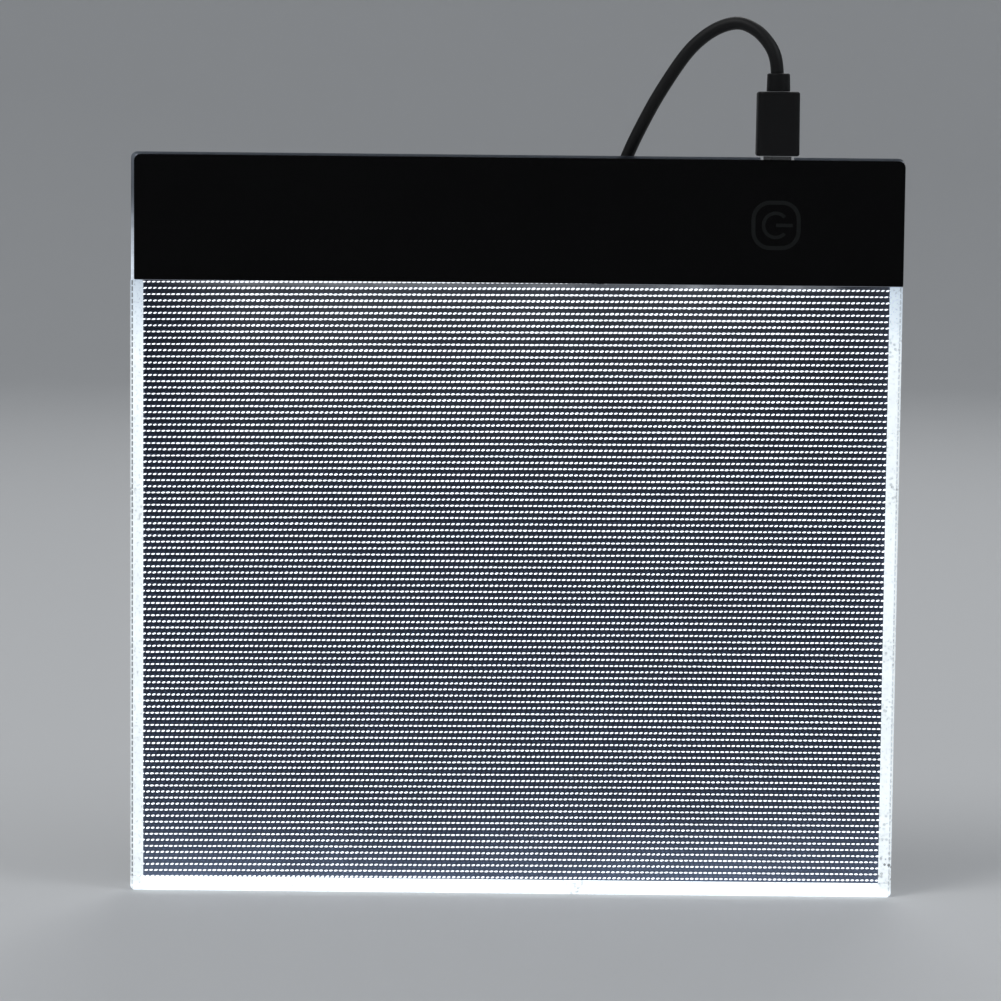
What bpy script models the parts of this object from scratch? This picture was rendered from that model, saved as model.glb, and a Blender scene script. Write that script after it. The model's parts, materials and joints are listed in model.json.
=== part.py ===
"""LED light box (tracing pad) standing on its lower long edge, with its USB lead plugged in on top.

World frame: metres, +Z up, front towards -Y, +X to the viewer's right. The origin is the middle of the
pad's footprint, lead left out. Depths (the Y values) are written from the light guide's mid-plane, and
PAD_Y moves that plane so that the pad with its feet is centred on Y = 0.
"""

import math

import bmesh
import bpy
from mathutils import Matrix, Vector

MM = 0.001

# Driving dimensions
PAD_WIDTH = 190.0 * MM
PAD_HEIGHT = 183.7 * MM
GUIDE_THICKNESS = 3.0 * MM
GUIDE_CORNER = 1.5 * MM
GUIDE_FOOT_CORNER = 0.9 * MM
COVER_HEIGHT = 30.7 * MM
COVER_WIDTH = 189.0 * MM
COVER_THICKNESS = 0.9 * MM
COVER_CORNER = 1.6 * MM  # top corners; the bottom ones are nearly square
COVER_FOOT_CORNER = 0.3 * MM
COVER_BELOW_TOP = 0.6 * MM  # clear rim of the light guide above the bar
GAP = 0.1 * MM  # between pieces that lie on each other
TAPE_THICKNESS = 0.12 * MM
TAPE_GAP = 0.06 * MM
TAPE_FLANGE = 3.45 * MM
SIDE_TAPE_FLANGE = 3.2 * MM
REAR_FLANGE_LESS = 0.6 * MM  # a tape reaches this much less far over the back than over the front
BACKING_THICKNESS = 0.25 * MM
FOOT_RADIUS = 4.0 * MM
FOOT_HEIGHT = 1.5 * MM
FOOT_INSET = 13.0 * MM
LEAD_X = 63.7 * MM  # the socket's place along the top edge
CORD_DIAMETER = 3.2 * MM

# Depths that follow from them
GUIDE_HALF = GUIDE_THICKNESS / 2
COVER_INNER = GUIDE_HALF + GAP
COVER_OUTER = COVER_INNER + COVER_THICKNESS
MARK_THICKNESS = 0.05 * MM
MARK_FACE = COVER_OUTER + 0.02 * MM + MARK_THICKNESS
FOOT_FACE = COVER_OUTER + GAP + FOOT_HEIGHT
PAD_Y = (MARK_FACE - FOOT_FACE) / 2

# Heights and widths that follow from them
TAPE_WRAP = TAPE_THICKNESS + TAPE_GAP
GUIDE_HALF_WIDTH = PAD_WIDTH / 2 - TAPE_WRAP
COVER_RIGHT = PAD_WIDTH / 2
COVER_LEFT = COVER_RIGHT - COVER_WIDTH
COVER_TOP = PAD_HEIGHT - COVER_BELOW_TOP
COVER_FOOT = COVER_TOP - COVER_HEIGHT

# The electronics bay, a window routed through the light guide behind the covers
BAY_HALF_WIDTH = 90.0 * MM
BAY_FLOOR = COVER_FOOT + 4.5 * MM
BAY_TOP = PAD_HEIGHT - 5.0 * MM
BAY_CORNER = 2.0 * MM

# USB micro-B socket and plug
SOCKET_WIDTH = 7.6 * MM
SOCKET_DEPTH = 2.7 * MM
SOCKET_LENGTH = 6.2 * MM
SOCKET_WALL = 0.25 * MM
PLUG_SHELL_WIDTH = 6.85 * MM
PLUG_SHELL_DEPTH = 1.8 * MM
PLUG_SHELL_WALL = 0.3 * MM
PLUG_INSERTION = 5.0 * MM
PLUG_BODY_FOOT = COVER_TOP + 0.95 * MM
PLUG_BODY = Vector((10.35, 7.4, 15.7)) * MM
PLUG_FOOT_FLARE = 1.02  # the body's foot is this much wider than its top
PLUG_BODY_TOP = PLUG_BODY_FOOT + PLUG_BODY.z
RELIEF_LENGTH = 4.45 * MM
RELIEF_TOP = PLUG_BODY_TOP + RELIEF_LENGTH

# The lead's coil, lying on the surface behind the pad
CORD_RADIUS = CORD_DIAMETER / 2
COIL_CENTRE = Vector((-12.0, 26.4)) * MM
COIL_TURN_RADII = (20.8 * MM, 11.2 * MM)  # centre lines of the outermost and innermost turns
COIL_LAYERS = 2
TIE_THICKNESS = 0.6 * MM
TIE_WIDTH = 5.0 * MM
CORD_GAP = 0.3 * MM
COIL_FOOT = TIE_THICKNESS + CORD_GAP
COIL_HEIGHT = COIL_LAYERS * CORD_DIAMETER

# USB A plug at the lead's far end, lying flat beside the coil
USB_A_AXIS = Vector((COIL_CENTRE.x - 30.0 * MM, COIL_CENTRE.y - 13.7 * MM, 4.0 * MM))
USB_A_RELIEF_LENGTH = 8.0 * MM
USB_A_BODY = Vector((22.0, 15.5, 8.0)) * MM
USB_A_SHELL = Vector((18.75, 12.0, 4.5)) * MM
USB_A_WALL = 0.3 * MM

# The lead's route where it isn't coiled: out of the plug, over, down behind the pad and along the surface
ARC_ROUTE = (
    (63.4, -0.8, 204.8),
    (62.9, -0.7, 207.8),
    (61.3, 0.3, 211.4),
    (58.1, 2.0, 214.8),
    (53.6, 4.0, 216.5),
    (47.8, 6.0, 214.6),
    (41.9, 7.5, 209.5),
    (35.6, 8.9, 200.2),
    (31.0, 9.7, 191.8),
)
FALL_ROUTE = (
    (30.8, 9.75, 191.5),
    (27.2, 10.2, 183.6),
    (23.4, 10.6, 173.0),
    (20.6, 10.6, 156.8),
    (19.2, 9.9, 134.5),
    (18.6, 8.7, 104.3),
    (18.4, 7.4, 70.0),
    (18.2, 6.3, 40.0),
    (17.6, 5.9, 25.0),
    (15.3, 5.6, 13.4),
    (10.8, 5.6, 5.6),
    (5.4, 5.6, 2.1),
    (2.0, 5.6, 1.62),
)
TAIL_ROUTE = (
    (-32.0, 10.9, 4.95),
    (-35.0, 12.0, 4.5),
    (-38.5, 12.6, 4.15),
    (-41.7, 12.7, 4.0),
)


def clear_scene():
    for obj in list(bpy.data.objects):
        bpy.data.objects.remove(obj, do_unlink=True)


# ---------------------------------------------------------------- materials


def material(name, colour, roughness, metallic=0.0):
    made = bpy.data.materials.new(name)
    made.use_nodes = True
    shader = made.node_tree.nodes["Principled BSDF"]
    shader.inputs["Base Color"].default_value = (*colour, 1.0)
    shader.inputs["Roughness"].default_value = roughness
    shader.inputs["Metallic"].default_value = metallic
    return made


def make_materials():
    return {
        "clear_acrylic": material("clear_acrylic", (0.32, 0.34, 0.42), 0.12),
        "backing": material("backing", (0.03, 0.03, 0.04), 0.6),
        "white_tape": material("white_tape", (0.85, 0.87, 0.9), 0.45),
        "black_plastic": material("black_plastic", (0.012, 0.012, 0.013), 0.38),
        "key_ink": material("key_ink", (0.045, 0.05, 0.05), 0.5),
        "circuit_board": material("circuit_board", (0.02, 0.16, 0.07), 0.45),
        "chip": material("chip", (0.02, 0.02, 0.022), 0.5),
        "led_body": material("led_body", (0.9, 0.88, 0.7), 0.35),
        "copper": material("copper", (0.85, 0.5, 0.3), 0.3, 1.0),
        "steel": material("steel", (0.62, 0.62, 0.64), 0.28, 1.0),
        "wire_red": material("wire_red", (0.6, 0.02, 0.02), 0.45),
        "wire_black": material("wire_black", (0.015, 0.015, 0.015), 0.45),
        "rubber": material("rubber", (0.03, 0.03, 0.03), 0.85),
        "cord_pvc": material("cord_pvc", (0.014, 0.014, 0.015), 0.42),
    }


# ---------------------------------------------------------------- shapes


def new_object(name, mesh, paint, parent=None, location=(0, 0, 0)):
    obj = bpy.data.objects.new(name, mesh)
    bpy.context.scene.collection.objects.link(obj)
    mesh.materials.append(paint)
    obj.parent = parent
    obj.location = location
    return obj


def mesh_from(bm, name):
    bmesh.ops.recalc_face_normals(bm, faces=bm.faces)
    mesh = bpy.data.meshes.new(name)
    bm.to_mesh(mesh)
    bm.free()
    return mesh


def rounded_rectangle(low, high, radius, steps=4, foot_radius=None):
    """Corner points of a rectangle with round corners, anticlockwise; the foot may have its own radius."""
    foot = radius if foot_radius is None else foot_radius
    corners = (
        (high[0] - radius, high[1] - radius, radius, 0),
        (low[0] + radius, high[1] - radius, radius, 90),
        (low[0] + foot, low[1] + foot, foot, 180),
        (high[0] - foot, low[1] + foot, foot, 270),
    )
    points = []
    for x, y, reach, start in corners:
        for step in range(steps + 1):
            angle = math.radians(start + 90 * step / steps)
            points.append((x + reach * math.cos(angle), y + reach * math.sin(angle)))
    return points


def prism(name, outline, low, high, axes="xz"):
    """Mesh of an outline in the named plane, extruded from low to high along the third axis."""
    first, second = ("xyz".index(axis) for axis in axes)
    third = 3 - first - second
    bm = bmesh.new()
    corners = []
    for u, v in outline:
        point = [0.0, 0.0, 0.0]
        point[first], point[second], point[third] = u, v, low
        corners.append(bm.verts.new(point))
    face = bm.faces.new(corners)
    top = bmesh.ops.extrude_face_region(bm, geom=[face])
    step = Vector((0, 0, 0))
    step[third] = high - low
    moved = [item for item in top["geom"] if isinstance(item, bmesh.types.BMVert)]
    bmesh.ops.translate(bm, vec=step, verts=moved)
    return mesh_from(bm, name)


def turned(name, profile, steps, axis="Z"):
    """Mesh of a closed (radius, height) profile turned about an axis. A radius of 0 closes it there."""
    bm = bmesh.new()
    rings = []
    for radius, height in profile:
        if radius == 0:
            rings.append([bm.verts.new((0, 0, height))])
            continue
        angles = [2 * math.pi * step / steps for step in range(steps)]
        rings.append([bm.verts.new((radius * math.cos(a), radius * math.sin(a), height)) for a in angles])
    for lower, upper in zip(rings, rings[1:] + rings[:1]):
        if len(lower) == 1 and len(upper) == 1:
            continue
        for i in range(steps):
            j = (i + 1) % steps
            below = [lower[i % len(lower)], lower[j % len(lower)]]
            above = [upper[j % len(upper)], upper[i % len(upper)]]
            bm.faces.new(list(dict.fromkeys(below + above)))
    if axis == "Y":
        bmesh.ops.rotate(bm, verts=bm.verts, matrix=Matrix.Rotation(-math.pi / 2, 3, "X"))
    if axis == "X":
        bmesh.ops.rotate(bm, verts=bm.verts, matrix=Matrix.Rotation(math.pi / 2, 3, "Y"))
    mesh = mesh_from(bm, name)
    mesh.shade_smooth()
    mesh.set_sharp_from_angle(angle=math.radians(35))
    return mesh


def disc(name, radius, low, high, steps=20, axis="Y"):
    return turned(name, [(0, low), (radius, low), (radius, high), (0, high)], steps, axis)


def block(name, low, high):
    outline = [(low[0], low[2]), (high[0], low[2]), (high[0], high[2]), (low[0], high[2])]
    return prism(name, outline, low[1], high[1])


def soften(obj, width, segments=2, angle=40):
    bevel = obj.modifiers.new("soft_edges", "BEVEL")
    bevel.width = width
    bevel.segments = segments
    bevel.limit_method = "ANGLE"
    bevel.angle_limit = math.radians(angle)


def combine(obj, other, operation):
    """Joins or cuts with a helper that is itself left out of the model."""
    other.hide_render = True
    other.display_type = "WIRE"
    boolean = obj.modifiers.new(other.name, "BOOLEAN")
    boolean.operation = operation
    boolean.object = other


def cut(obj, name, mesh, parent=None, location=(0, 0, 0)):
    combine(obj, new_object(name, mesh, obj.data.materials[0], parent, location), "DIFFERENCE")


def join(obj, name, mesh, parent=None, location=(0, 0, 0)):
    combine(obj, new_object(name, mesh, obj.data.materials[0], parent, location), "UNION")


# ---------------------------------------------------------------- light guide, backing and tapes


def make_light_guide(paint, pad):
    low, high = (-GUIDE_HALF_WIDTH, TAPE_WRAP), (GUIDE_HALF_WIDTH, PAD_HEIGHT)
    outline = rounded_rectangle(low, high, GUIDE_CORNER, foot_radius=GUIDE_FOOT_CORNER)
    guide = new_object(
        "light_guide_plate",
        prism("light_guide_plate", outline, -GUIDE_HALF, GUIDE_HALF),
        paint["clear_acrylic"],
        pad,
    )
    past = GUIDE_THICKNESS
    bay = rounded_rectangle((-BAY_HALF_WIDTH, BAY_FLOOR), (BAY_HALF_WIDTH, BAY_TOP), BAY_CORNER)
    cut(guide, "bay_cutter", prism("bay_cutter", bay, -past, past), pad)
    notch_half = SOCKET_WIDTH / 2 + 0.4 * MM
    low = (LEAD_X - notch_half, -past, BAY_TOP - 1 * MM)
    high = (LEAD_X + notch_half, past, PAD_HEIGHT + 1 * MM)
    cut(guide, "socket_notch_cutter", block("socket_notch_cutter", low, high), pad)


def make_backing(paint, pad):
    half = PAD_WIDTH / 2 - (SIDE_TAPE_FLANGE - REAR_FLANGE_LESS) - GAP
    foot = TAPE_FLANGE - REAR_FLANGE_LESS + GAP
    outline = rounded_rectangle((-half, foot), (half, COVER_FOOT - 0.2 * MM), 0.5 * MM, steps=2)
    mesh = prism("backing_sheet", outline, COVER_INNER, COVER_INNER + BACKING_THICKNESS)
    new_object("backing_sheet", mesh, paint["backing"], pad)


def wrap_outline(edge, flange, side):
    """Section of a tape folded round an edge of the plate: across the plate first, then its depth."""
    inner = GUIDE_HALF + TAPE_GAP
    outer = inner + TAPE_THICKNESS
    fold = edge - side * TAPE_THICKNESS
    front_tip = edge - side * flange
    rear_tip = edge - side * (flange - REAR_FLANGE_LESS)
    points = [
        (edge, -outer),
        (front_tip, -outer),
        (front_tip, -inner),
        (fold, -inner),
        (fold, inner),
        (rear_tip, inner),
        (rear_tip, outer),
        (edge, outer),
    ]
    return points if side > 0 else points[::-1]


def corner_waste(side, steps=6):
    """What is trimmed off the bottom tape so that its end follows the plate's round corner."""
    radius = GUIDE_FOOT_CORNER + TAPE_WRAP
    edge = PAD_WIDTH / 2
    past = edge + 1 * MM
    points = [(side * past, -1 * MM), (side * past, radius), (side * edge, radius)]
    for step in range(1, steps + 1):
        angle = math.radians(90 * step / steps)
        points.append((side * (edge - radius + radius * math.cos(angle)), radius - radius * math.sin(angle)))
    points.append((side * (edge - radius), -1 * MM))
    return points


def make_tapes(paint, pad):
    low = TAPE_FLANGE + 0.1 * MM
    high = COVER_FOOT - 0.2 * MM
    for name, side in (("edge_tape_left", -1), ("edge_tape_right", 1)):
        section = wrap_outline(side * PAD_WIDTH / 2, SIDE_TAPE_FLANGE, side)
        new_object(name, prism(name, section, low, high, "xy"), paint["white_tape"], pad)
    section = wrap_outline(0.0, TAPE_FLANGE, -1)
    mesh = prism("edge_tape_bottom", section, -PAD_WIDTH / 2, PAD_WIDTH / 2, "zy")
    tape = new_object("edge_tape_bottom", mesh, paint["white_tape"], pad)
    for name, side in (("corner_cutter_left", -1), ("corner_cutter_right", 1)):
        cut(tape, name, prism(name, corner_waste(side), -GUIDE_THICKNESS, GUIDE_THICKNESS), pad)


# ---------------------------------------------------------------- covers, screws and feet

SCREW_X = [offset * MM for offset in (-86.0, -30.0, 34.0, 86.0)]
SCREW_Z = BAY_TOP - 4.5 * MM
BOSS_RADIUS = 1.9 * MM
PILOT_RADIUS = 0.75 * MM
SCREW_RADIUS = 0.55 * MM
SCREW_HEAD_RADIUS = 1.4 * MM
SCREW_HEAD_HEIGHT = 0.45 * MM
SEAT_RADIUS = 1.7 * MM
SEAT_DEPTH = 0.55 * MM


def cover_outline():
    return rounded_rectangle(
        (COVER_LEFT, COVER_FOOT), (COVER_RIGHT, COVER_TOP), COVER_CORNER, foot_radius=COVER_FOOT_CORNER
    )


def make_front_cover(paint, pad):
    mesh = prism("front_cover", cover_outline(), -COVER_OUTER, -COVER_INNER)
    cover = new_object("front_cover", mesh, paint["black_plastic"], pad)
    for number, x in enumerate(SCREW_X, 1):
        boss = disc(f"boss_{number}", BOSS_RADIUS, -COVER_OUTER + 0.3 * MM, COVER_INNER - 0.15 * MM)
        join(cover, f"boss_{number}", boss, pad, (x, 0, SCREW_Z))
        pilot = disc(f"pilot_{number}", PILOT_RADIUS, -COVER_INNER + 0.4 * MM, COVER_OUTER, 12)
        cut(cover, f"pilot_{number}", pilot, pad, (x, 0, SCREW_Z))


def make_rear_cover(paint, pad):
    mesh = prism("rear_cover", cover_outline(), COVER_INNER, COVER_OUTER)
    cover = new_object("rear_cover", mesh, paint["black_plastic"], pad)
    for number, x in enumerate(SCREW_X, 1):
        place = (x, 0, SCREW_Z)
        hole = disc(f"screw_hole_{number}", PILOT_RADIUS, 0, 2 * COVER_OUTER, 12)
        cut(cover, f"screw_hole_{number}", hole, pad, place)
        seat = disc(f"screw_seat_{number}", SEAT_RADIUS, COVER_OUTER - SEAT_DEPTH, 2 * COVER_OUTER)
        cut(cover, f"screw_seat_{number}", seat, pad, place)


def make_screws(paint, pad):
    head_top = COVER_OUTER - 0.05 * MM
    head_foot = head_top - SCREW_HEAD_HEIGHT
    tip = -COVER_INNER + 0.7 * MM
    profile = [
        (0, tip),
        (SCREW_RADIUS, tip + 0.3 * MM),
        (SCREW_RADIUS, head_foot),
        (SCREW_HEAD_RADIUS, head_foot),
        (SCREW_HEAD_RADIUS, head_top - 0.15 * MM),
        (SCREW_HEAD_RADIUS - 0.2 * MM, head_top),
        (0, head_top),
    ]
    for number, x in enumerate(SCREW_X, 1):
        name = f"cover_screw_{number}"
        screw = new_object(name, turned(name, profile, 16, "Y"), paint["steel"], pad, (x, 0, SCREW_Z))
        for slot, long_x, long_z in (("across", 0.9, 0.2), ("upright", 0.2, 0.9)):
            reach = Vector((long_x * MM, 0, long_z * MM))
            low = -reach + Vector((0, head_top - 0.22 * MM, 0))
            high = reach + Vector((0, head_top + 1 * MM, 0))
            helper = f"screw_{number}_{slot}_slot"
            cut(screw, helper, block(helper, low, high), pad, (x, 0, SCREW_Z))


def make_feet(paint, pad):
    x = PAD_WIDTH / 2 - FOOT_INSET
    seats = (
        (-x, FOOT_INSET, COVER_INNER + BACKING_THICKNESS),
        (x, FOOT_INSET, COVER_INNER + BACKING_THICKNESS),
        (-x, COVER_FOOT + 8 * MM, COVER_OUTER),
        (x, COVER_FOOT + 8 * MM, COVER_OUTER),
    )
    for number, (foot_x, foot_z, seat) in enumerate(seats, 1):
        name = f"rubber_foot_{number}"
        low = seat + GAP
        high = low + FOOT_HEIGHT
        edge = 0.4 * MM
        side = [(FOOT_RADIUS, low), (FOOT_RADIUS, high - edge), (FOOT_RADIUS - edge, high)]
        profile = [(0, low), *side, (0, high)]
        new_object(name, turned(name, profile, 24, "Y"), paint["rubber"], pad, (foot_x, 0, foot_z))


# ---------------------------------------------------------------- the touch key's printed mark

KEY_X = 63.5 * MM
KEY_Z = COVER_TOP - 15.95 * MM
KEY_SIZE = 12.1 * MM
KEY_LINE = 1.0 * MM
KEY_CORNER = 4.6 * MM
SIGN_RADIUS = 3.4 * MM
SIGN_LINE = 0.85 * MM
SIGN_HALF_OPENING = 42  # degrees each side of +X
SIGN_BAR = 4.1 * MM


def make_key_mark(paint, pad):
    faces = (-MARK_FACE, -MARK_FACE + MARK_THICKNESS)
    place = (KEY_X, 0, KEY_Z)
    half = KEY_SIZE / 2
    ring_mesh = prism("key_ring_mark", rounded_rectangle((-half, -half), (half, half), KEY_CORNER, 8), *faces)
    ring = new_object("key_ring_mark", ring_mesh, paint["key_ink"], pad, place)
    hole = half - KEY_LINE
    inner = rounded_rectangle((-hole, -hole), (hole, hole), KEY_CORNER - KEY_LINE, 8)
    cut(ring, "key_ring_cutter", prism("key_ring_cutter", inner, -2 * MARK_FACE, 0), pad, place)

    steps = 20
    swept = 360 - 2 * SIGN_HALF_OPENING
    sweep = [math.radians(SIGN_HALF_OPENING + swept * i / steps) for i in range(steps + 1)]
    outer = [(SIGN_RADIUS * math.cos(a), SIGN_RADIUS * math.sin(a)) for a in sweep]
    bore = SIGN_RADIUS - SIGN_LINE
    arc = outer + [(bore * math.cos(a), bore * math.sin(a)) for a in reversed(sweep)]
    sign_place = (KEY_X - 0.1 * MM, 0, KEY_Z)
    new_object("key_arc_mark", prism("key_arc_mark", arc, *faces), paint["key_ink"], pad, sign_place)
    bar = rounded_rectangle((0, -SIGN_LINE / 2), (SIGN_BAR, SIGN_LINE / 2), 0.2 * MM, 2)
    new_object("key_bar_mark", prism("key_bar_mark", bar, *faces), paint["key_ink"], pad, place)


# ---------------------------------------------------------------- electronics

BOARD_FRONT = 0.6 * MM
BOARD_BACK = 1.4 * MM
LED_COUNT = 16
LED_PITCH = 11.2 * MM
LED_SIZE = Vector((3.0, 1.0, 1.3)) * MM
LED_BOARD_FRONT = 0.75 * MM
LED_BOARD_BACK = 1.1 * MM
PART_GAP = 0.05 * MM


def make_boards(paint, pad):
    top = BAY_TOP - 0.4 * MM
    outline = [
        (LEAD_X - 20.0 * MM, BAY_FLOOR + 6.0 * MM),
        (LEAD_X + 18.0 * MM, BAY_FLOOR + 6.0 * MM),
        (LEAD_X + 18.0 * MM, top),
        (LEAD_X + SOCKET_WIDTH / 2 + 0.3 * MM, top),
        (LEAD_X + SOCKET_WIDTH / 2 + 0.3 * MM, top - 1.8 * MM),
        (LEAD_X - SOCKET_WIDTH / 2 - 0.3 * MM, top - 1.8 * MM),
        (LEAD_X - SOCKET_WIDTH / 2 - 0.3 * MM, top),
        (LEAD_X - 20.0 * MM, top),
    ]
    board = prism("main_board", outline, BOARD_FRONT, BOARD_BACK)
    new_object("main_board", board, paint["circuit_board"], pad)
    half = 88.0 * MM
    low = (-half, LED_BOARD_FRONT, BAY_FLOOR + 0.3 * MM)
    high = (half, LED_BOARD_BACK, BAY_FLOOR + 4.3 * MM)
    new_object("led_board", block("led_board", low, high), paint["circuit_board"], pad)


def make_leds(paint, pad):
    low = (-LED_SIZE.x / 2, LED_BOARD_FRONT - PART_GAP - LED_SIZE.y, BAY_FLOOR + 0.3 * MM)
    high = (LED_SIZE.x / 2, LED_BOARD_FRONT - PART_GAP, BAY_FLOOR + 0.3 * MM + LED_SIZE.z)
    for number in range(LED_COUNT):
        x = (number - (LED_COUNT - 1) / 2) * LED_PITCH
        name = f"side_led_{number + 1:02d}"
        new_object(name, block(name, low, high), paint["led_body"], pad, (x, 0, 0))


def make_chip(name, size, legs, pitch, place, paint, pad):
    """A black body with a row of bent legs on each side, lying on the front of the main board."""
    face = BOARD_FRONT - PART_GAP
    half_x, half_z = size[0] / 2, size[2] / 2
    body = block(name, (-half_x, face - 0.1 * MM - size[1], -half_z), (half_x, face - 0.1 * MM, half_z))
    chip = new_object(name, body, paint["chip"], pad, place)
    for side, count in ((1, legs[0]), (-1, legs[1])):
        for leg in range(count):
            x = (leg - (count - 1) / 2) * pitch
            ends = sorted((side * (half_z - 0.3 * MM), side * (half_z + 0.8 * MM)))
            helper = f"{name}_leg_{side + 1}_{leg}"
            low = (x - 0.2 * MM, face - 0.35 * MM, ends[0])
            high = (x + 0.2 * MM, face, ends[1])
            join(chip, helper, block(helper, low, high), pad, place)


def make_components(paint, pad):
    middle = (BAY_FLOOR + 6.0 * MM + BAY_TOP) / 2
    make_chip(
        "controller_chip", Vector((4.9, 1.1, 3.8)) * MM, (4, 4), 1.27 * MM,
        (LEAD_X - 12.5 * MM, 0, middle), paint, pad,
    )
    make_chip(
        "driver_transistor", Vector((2.9, 0.95, 1.3)) * MM, (1, 2), 1.9 * MM,
        (LEAD_X + 12.0 * MM, 0, middle + 3 * MM), paint, pad,
    )
    chips = (
        ("filter_capacitor", 12.0, -3.5, (3.2, 1.0, 1.6), "led_body"),
        ("series_resistor", 12.0, -0.6, (2.0, 0.5, 1.2), "chip"),
        ("key_resistor", -12.5, 5.0, (1.6, 0.5, 0.8), "chip"),
    )
    for name, x, z, size, slot in chips:
        half = Vector(size) * MM / 2
        low = (-half.x, BOARD_FRONT - PART_GAP - 2 * half.y, -half.z)
        high = (half.x, BOARD_FRONT - PART_GAP, half.z)
        new_object(name, block(name, low, high), paint[slot], pad, (LEAD_X + x * MM, 0, middle + z * MM))
    outline = rounded_rectangle((-5.0 * MM, -5.0 * MM), (5.0 * MM, 5.0 * MM), 1.5 * MM)
    face = -COVER_INNER + PART_GAP
    mesh = prism("touch_electrode", outline, face, face + 0.2 * MM)
    new_object("touch_electrode", mesh, paint["copper"], pad, (KEY_X, 0, KEY_Z))


def make_led_wires(paint, pad):
    """Two short leads from the foot of the main board to the LED board."""
    for name, slot, offset in (("led_wire_red", "wire_red", 0.0), ("led_wire_black", "wire_black", 1.6)):
        x = LEAD_X + (-15.0 + offset) * MM
        low = BAY_FLOOR + 3.0 * MM
        high = BAY_FLOOR + 7.4 * MM
        route = [
            (x, 0.15 * MM, high),
            (x, -0.05 * MM, high - 1.4 * MM),
            (x - 0.2 * MM, -0.1 * MM, (low + high) / 2),
            (x, 0.1 * MM, low + 1.0 * MM),
            (x, 0.3 * MM, low),
        ]
        make_tube(name, route, 0.4 * MM, paint[slot], pad)


# ---------------------------------------------------------------- USB socket and plug


def micro_outline(width, depth):
    """The micro-B shape across X and Y: square at the front, chamfered at the back."""
    chamfer = depth * 0.42
    half, deep = width / 2, depth / 2
    return [
        (-half, -deep),
        (half, -deep),
        (half, deep - chamfer),
        (half - chamfer, deep),
        (-half + chamfer, deep),
        (-half, deep - chamfer),
    ]


def make_socket(paint, pad):
    place = (LEAD_X, 0, 0)
    foot = COVER_TOP - SOCKET_LENGTH
    mesh = prism("usb_socket_shell", micro_outline(SOCKET_WIDTH, SOCKET_DEPTH), foot, COVER_TOP, "xy")
    shell = new_object("usb_socket_shell", mesh, paint["steel"], pad, place)
    inner = micro_outline(SOCKET_WIDTH - 2 * SOCKET_WALL, SOCKET_DEPTH - 2 * SOCKET_WALL)
    hollow = prism("socket_hollow", inner, foot + SOCKET_WALL, COVER_TOP + 1 * MM, "xy")
    cut(shell, "socket_hollow", hollow, pad, place)
    low = (-1.85 * MM, -0.25 * MM, foot + SOCKET_WALL + 0.1 * MM)
    high = (1.85 * MM, 0.25 * MM, foot + 4.3 * MM)
    new_object("usb_socket_tongue", block("usb_socket_tongue", low, high), paint["chip"], pad, place)


def make_plug(paint, plug):
    """The moulded micro plug. Its parent empty lies on the line that it is pulled out along."""
    tip = COVER_TOP - PLUG_INSERTION
    shell_top = PLUG_BODY_FOOT - GAP
    mesh = prism("plug_shell", micro_outline(PLUG_SHELL_WIDTH, PLUG_SHELL_DEPTH), tip, shell_top, "xy")
    shell = new_object("plug_shell", mesh, paint["steel"], plug)
    inner = micro_outline(PLUG_SHELL_WIDTH - 2 * PLUG_SHELL_WALL, PLUG_SHELL_DEPTH - 2 * PLUG_SHELL_WALL)
    cut(shell, "plug_hollow", prism("plug_hollow", inner, tip - 1 * MM, shell_top - 0.6 * MM, "xy"), plug)

    half = PLUG_BODY / 2
    outline = rounded_rectangle((-half.x, -half.y), (half.x, half.y), 1.6 * MM, 4)
    mesh = prism("plug_overmould", outline, PLUG_BODY_FOOT, PLUG_BODY_TOP, "xy")
    for corner in mesh.vertices:
        if corner.co.z < PLUG_BODY_FOOT + PLUG_BODY.z / 2:
            corner.co.x *= PLUG_FOOT_FLARE
    soften(new_object("plug_overmould", mesh, paint["cord_pvc"], plug), 0.5 * MM)

    foot = PLUG_BODY_TOP + GAP
    top = RELIEF_TOP
    wide, narrow, rounding = 2.9 * MM, 2.8 * MM, 0.35 * MM
    profile = [
        (0, foot),
        (wide, foot),
        (narrow, top - rounding),
        (narrow - 0.3 * rounding, top - 0.3 * rounding),
        (narrow - rounding, top),
        (0, top),
    ]
    new_object("plug_strain_relief", turned("plug_strain_relief", profile, 20), paint["cord_pvc"], plug)


# ---------------------------------------------------------------- the lead


def smooth_route(points, spacing):
    """Points at an even spacing on a Catmull-Rom curve through the route's own points."""
    knots = [Vector(point) for point in points]
    ends = [2 * knots[0] - knots[1], *knots, 2 * knots[-1] - knots[-2]]
    fine = []
    for p0, p1, p2, p3 in zip(ends, ends[1:], ends[2:], ends[3:]):
        for step in range(40):
            t = step / 40
            fine.append(
                0.5 * (2 * p1 + (p2 - p0) * t + (2 * p0 - 5 * p1 + 4 * p2 - p3) * t**2
                       + (3 * p1 - p0 - 3 * p2 + p3) * t**3)
            )
    fine.append(knots[-1])
    run = [0.0]
    for a, b in zip(fine, fine[1:]):
        run.append(run[-1] + (b - a).length)
    count = max(2, round(run[-1] / spacing))
    spaced = []
    index = 0
    for step in range(count + 1):
        goal = run[-1] * step / count
        while index < len(run) - 2 and run[index + 1] < goal:
            index += 1
        share = (goal - run[index]) / (run[index + 1] - run[index])
        spaced.append(fine[index].lerp(fine[index + 1], share))
    return spaced


def make_tube(name, points, radius, paint, parent=None):
    curve = bpy.data.curves.new(name, "CURVE")
    curve.dimensions = "3D"
    curve.bevel_depth = radius
    curve.bevel_resolution = 2
    curve.use_fill_caps = True
    spline = curve.splines.new("POLY")
    spline.points.add(len(points) - 1)
    for knot, point in zip(spline.points, points):
        knot.co = (*point, 1.0)
    spline.use_smooth = True
    return new_object(name, curve, paint, parent)


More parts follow.
